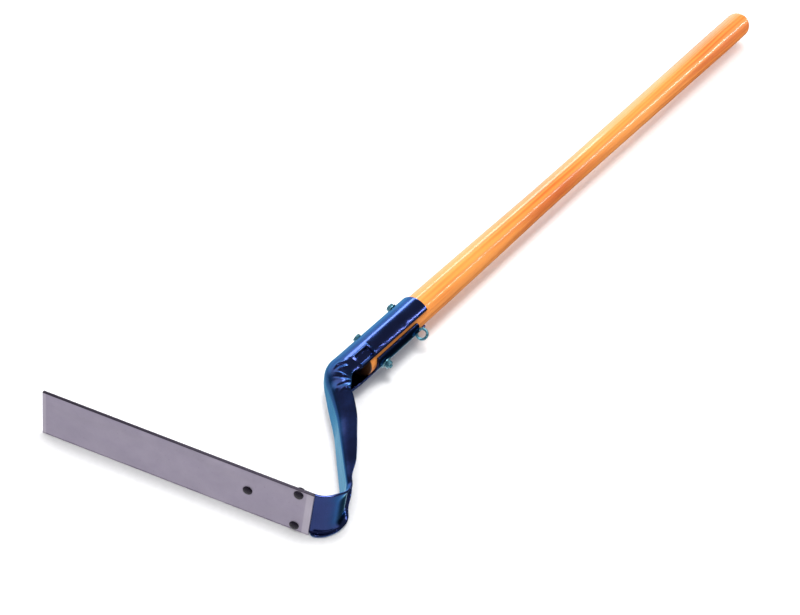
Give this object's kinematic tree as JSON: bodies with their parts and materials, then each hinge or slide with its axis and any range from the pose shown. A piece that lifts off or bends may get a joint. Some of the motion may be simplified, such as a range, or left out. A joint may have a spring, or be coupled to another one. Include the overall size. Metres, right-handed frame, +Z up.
{
  "type": "swing weed cutter",
  "caption": "L-shaped hand weed cutter: a straight steel blade riveted to a bent pressed steel neck whose rolled socket is bolted round a long turned wooden handle.",
  "frame": {"origin": "under the middle of the whole tool, on the surface that the blade's lower long edge stands on", "axes": "+Y along the handle from the socket to the grip, +Z up across the blade's width, +X from the blade's free tip towards its heel"},
  "size_m": [0.2688, 1.1134, 0.0508],
  "materials": {
    "handle_wood": "orange lacquered straight-grained wood, glossy",
    "neck_paint": "glossy dark blue enamel on pressed steel",
    "blade_steel": "bare grey rolled steel, satin, darker edges",
    "rivet_black": "blackened steel rivets",
    "bolt_zinc": "blued zinc-plated steel"
  },
  "bodies": {
    "root": {"handle": "handle_wood", "neck": "neck_paint", "blade": "blade_steel", "rivet_inner": "rivet_black", "rivet_upper": "rivet_black", "rivet_lower": "rivet_black", "clamp_bolt": "bolt_zinc", "clamp_washer": "bolt_zinc", "clamp_nut": "bolt_zinc", "eye_bolt": "bolt_zinc", "eye_washer": "bolt_zinc", "eye_nut": "bolt_zinc"}
  },
  "joints": []
}
